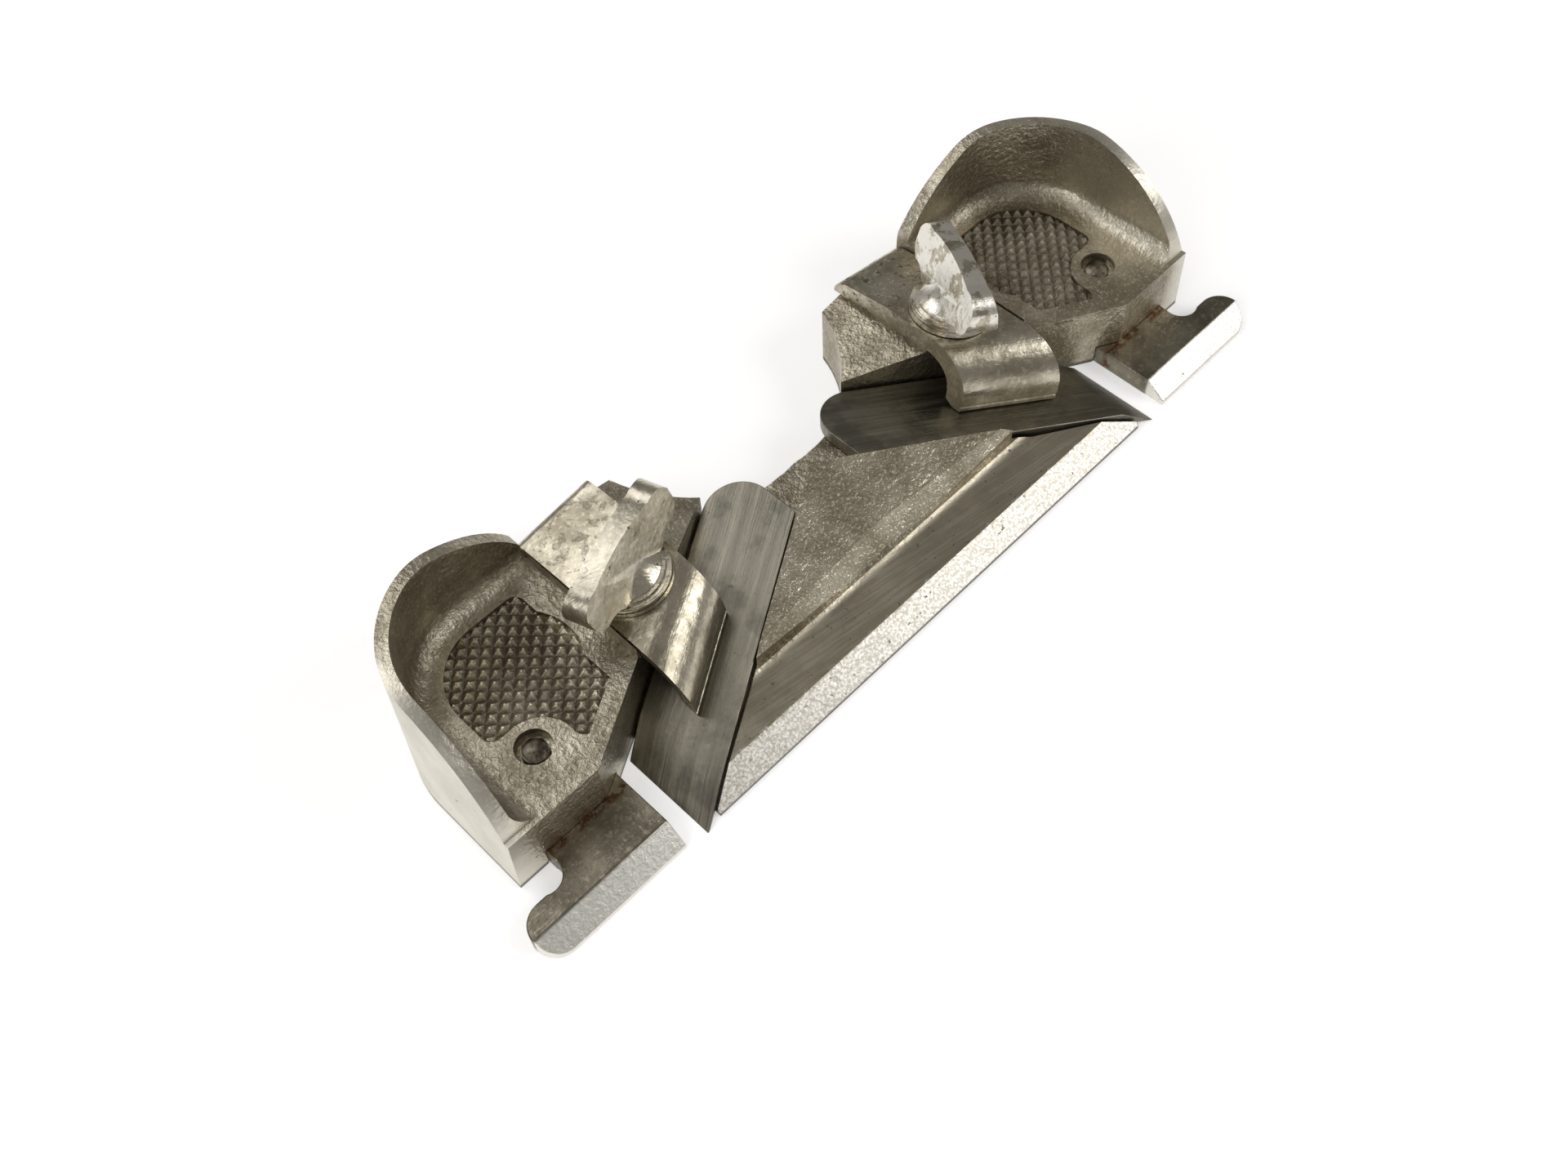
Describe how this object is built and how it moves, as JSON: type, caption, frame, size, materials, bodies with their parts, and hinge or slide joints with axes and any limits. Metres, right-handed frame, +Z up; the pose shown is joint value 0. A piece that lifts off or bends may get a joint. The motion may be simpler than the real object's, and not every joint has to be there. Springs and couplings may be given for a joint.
{
  "type": "side rabbet plane",
  "caption": "Small flat metal plane with a skewed cutter at each end, clamped by winged thumb screws beside checkered finger cups.",
  "frame": {"origin": "middle of the bounding box, on the flat working face", "axes": "+X along the long edge towards the right-hand end as the checkered side is seen from above with the long edge nearest, +Y from the long edge to the back, +Z up from the flat working face"},
  "size_m": [0.1396, 0.0446, 0.0243],
  "materials": {
    "casting": "worn nickel plate over a cast surface",
    "cutter_steel": "dark ground tool steel",
    "clamp_nickel": "worn nickel plate, pitted",
    "thumb_nickel": "worn nickel plate, pitted",
    "nose_nickel": "ground steel with worn nickel plate",
    "screw_steel": "dull steel"
  },
  "bodies": {
    "body": {"body": "casting"},
    "cutter_left": {"cutter_left": "cutter_steel"},
    "cutter_right": {"cutter_right": "cutter_steel"},
    "clamp_left": {"clamp_left_end": "clamp_nickel"},
    "clamp_right": {"clamp_right_end": "clamp_nickel"},
    "thumb_left": {"thumb_screw_left": "thumb_nickel"},
    "thumb_right": {"thumb_screw_right": "thumb_nickel"},
    "nose_left": {"nose_left": "nose_nickel"},
    "nose_right": {"nose_right": "nose_nickel"},
    "nose_screw_left": {"nose_screw_left": "screw_steel"},
    "nose_screw_right": {"nose_screw_right": "screw_steel"}
  },
  "joints": [
    {"name": "cutter_left_slide", "type": "slide", "parent": "body", "child": "cutter_left", "axis": [0.858, 0.4954, 0.1359], "range_m": [-0.001, 0.005]},
    {"name": "clamp_left_lift", "type": "slide", "parent": "body", "child": "clamp_left", "axis": [-0.1564, 0, 0.9877], "range_m": [0, 0.0016]},
    {"name": "thumb_left_turn", "type": "hinge", "parent": "clamp_left", "child": "thumb_left", "pos_m": [-0.031, 0.0056, 0.0139], "axis": [-0.1564, 0, 0.9877], "range_deg": [0, 720]},
    {"name": "nose_left_drop", "type": "slide", "parent": "body", "child": "nose_left", "axis": [0, 0, -1], "range_m": [0, 0.0016]},
    {"name": "nose_screw_left_turn", "type": "hinge", "parent": "nose_left", "child": "nose_screw_left", "pos_m": [-0.0547, -0.0027, 0], "axis": [0, 0, -1], "range_deg": [0, 720]},
    {"name": "cutter_right_slide", "type": "slide", "parent": "body", "child": "cutter_right", "axis": [-0.858, 0.4954, 0.1359], "range_m": [-0.001, 0.005]},
    {"name": "clamp_right_lift", "type": "slide", "parent": "body", "child": "clamp_right", "axis": [0.1564, 0, 0.9877], "range_m": [0, 0.0016]},
    {"name": "thumb_right_turn", "type": "hinge", "parent": "clamp_right", "child": "thumb_right", "pos_m": [0.031, 0.0056, 0.0139], "axis": [0.1564, 0, 0.9877], "range_deg": [0, 720]},
    {"name": "nose_right_drop", "type": "slide", "parent": "body", "child": "nose_right", "axis": [0, 0, -1], "range_m": [0, 0.0016]},
    {"name": "nose_screw_right_turn", "type": "hinge", "parent": "nose_right", "child": "nose_screw_right", "pos_m": [0.0547, -0.0027, 0], "axis": [0, 0, -1], "range_deg": [0, 720]}
  ]
}
